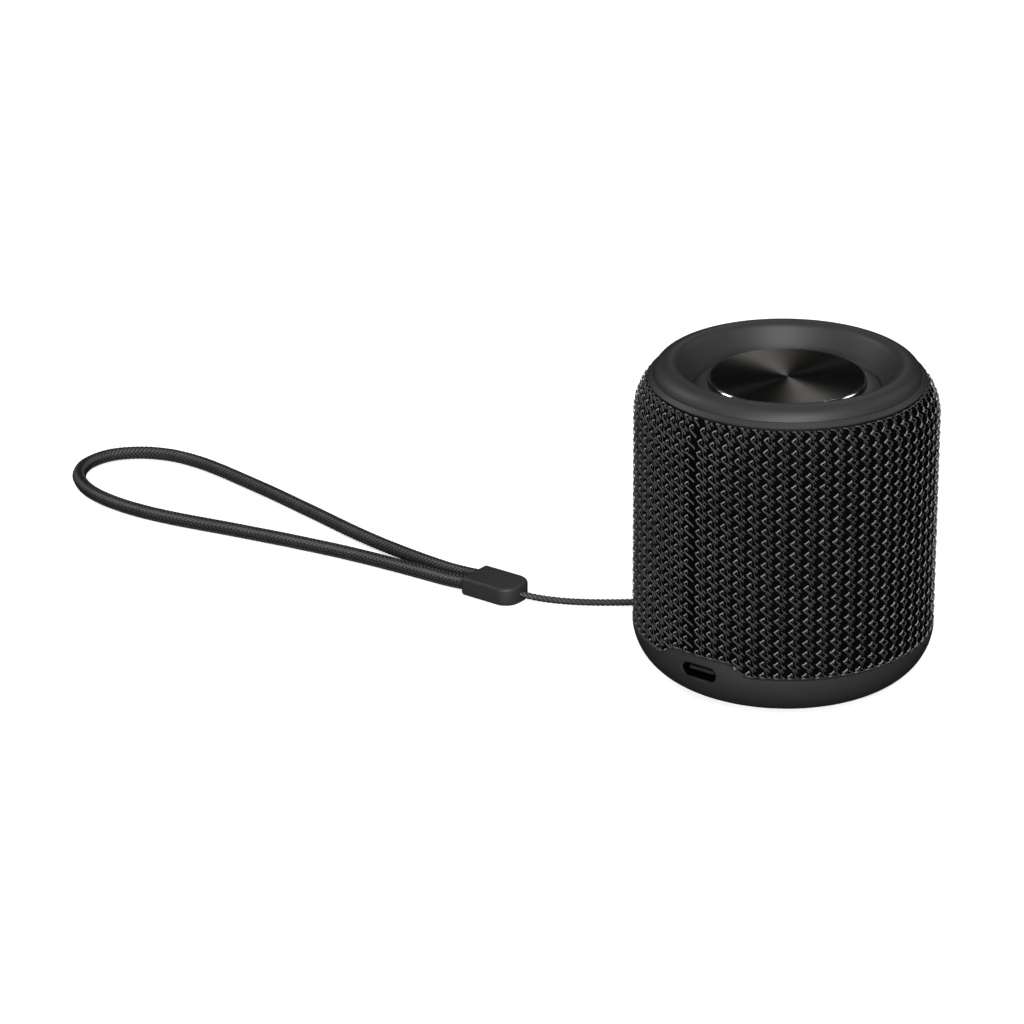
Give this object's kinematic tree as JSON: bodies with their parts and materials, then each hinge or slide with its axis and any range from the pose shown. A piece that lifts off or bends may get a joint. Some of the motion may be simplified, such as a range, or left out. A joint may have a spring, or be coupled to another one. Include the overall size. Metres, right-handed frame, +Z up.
{
  "type": "portable waterproof speaker",
  "caption": "Small upright cylindrical waterproof speaker in knitted fabric with a metal passive radiator in its top bowl and a braided wrist strap.",
  "frame": {"origin": "centre of the base on the surface that the speaker stands on", "axes": "+Z up along the cylinder's axis, -Y towards the charging port, +Y towards the keys and the strap's exit"},
  "size_m": [0.2408, 0.0757, 0.0734],
  "materials": {
    "shell_plastic": "fine matte moulded ABS",
    "soft_touch": "soft-touch coated ABS",
    "knit_fabric": "open spacer knit, water resistant",
    "inner_plastic": "moulded ABS",
    "black_rubber": "silicone rubber",
    "surround_rubber": "butyl rubber, satin",
    "spun_plate": "black anodised, circular brushed, cut bevel",
    "zinc_steel": "zinc plated steel",
    "ferrite": "sintered ferrite",
    "pulp_cone": "coated paper pulp",
    "spider_cloth": "resin treated cotton",
    "copper_wire": "enamelled copper",
    "circuit_board": "solder mask on glass epoxy",
    "chip_black": "epoxy packages",
    "cell_wrap": "heat-shrink wrap",
    "grey_foam": "open-cell foam",
    "wire_red": "PVC insulation",
    "polyimide": "polyimide flat cable",
    "braid": "braided polyester",
    "connector_plastic": "moulded TPU",
    "port_steel": "nickel plated"
  },
  "bodies": {
    "root": {"bottom_shell": "shell_plastic", "foot_pad": "black_rubber", "base_screws": "zinc_steel", "base_gasket": "black_rubber", "grille_frame": "inner_plastic", "cabinet": "inner_plastic", "fabric_sleeve": "knit_fabric", "top_ring": "soft_touch", "radiator_frame": "inner_plastic", "radiator_screws": "zinc_steel", "radiator_surround": "surround_rubber", "driver_basket": "zinc_steel", "driver_gasket": "black_rubber", "driver_screws": "zinc_steel", "driver_surround": "black_rubber", "driver_spider": "spider_cloth", "driver_top_plate": "zinc_steel", "driver_magnet": "ferrite", "driver_yoke": "zinc_steel", "driver_terminals": "copper_wire", "driver_leads": "wire_red", "lead_grommet": "black_rubber", "main_board": "circuit_board", "board_screws": "zinc_steel", "board_parts": "chip_black", "wireless_module": "port_steel", "usb_shell": "port_steel", "usb_tongue": "inner_plastic", "usb_seal": "black_rubber", "battery_cell": "cell_wrap", "battery_tray": "inner_plastic", "battery_foam": "grey_foam", "battery_leads": "wire_red", "key_bezel": "inner_plastic", "switch_board": "circuit_board", "switch_housings": "chip_black", "key_ribbon": "polyimide", "strap_gland": "black_rubber", "strap_stop": "zinc_steel", "thin_cord": "braid", "strap_connector": "connector_plastic", "wrist_loop": "braid"},
    "radiator": {"radiator_core": "inner_plastic", "radiator_plate": "spun_plate", "radiator_weight": "zinc_steel"},
    "driver_moving": {"driver_cone": "pulp_cone", "driver_dust_cap": "pulp_cone", "voice_coil": "copper_wire"},
    "plus_key": {"key_plus": "black_rubber", "plunger_plus": "inner_plastic"},
    "play_key": {"key_play": "black_rubber", "plunger_play": "inner_plastic"},
    "minus_key": {"key_minus": "black_rubber", "plunger_minus": "inner_plastic"}
  },
  "joints": [
    {"name": "radiator_stroke", "type": "slide", "parent": "root", "child": "radiator", "axis": [0, 0, 1], "range_m": [-0.002, 0.002], "stiffness_N_per_m": 1500, "deforming": ["radiator_surround"]},
    {"name": "driver_stroke", "type": "slide", "parent": "root", "child": "driver_moving", "axis": [0, 0, 1], "range_m": [-0.0015, 0.0015], "stiffness_N_per_m": 400, "deforming": ["driver_surround", "driver_spider"]},
    {"name": "plus_press", "type": "slide", "parent": "root", "child": "plus_key", "axis": [0, -1, 0], "range_m": [0, 0.0003], "stiffness_N_per_m": 600},
    {"name": "play_press", "type": "slide", "parent": "root", "child": "play_key", "axis": [0, -1, 0], "range_m": [0, 0.0003], "stiffness_N_per_m": 600},
    {"name": "minus_press", "type": "slide", "parent": "root", "child": "minus_key", "axis": [0, -1, 0], "range_m": [0, 0.0003], "stiffness_N_per_m": 600}
  ]
}
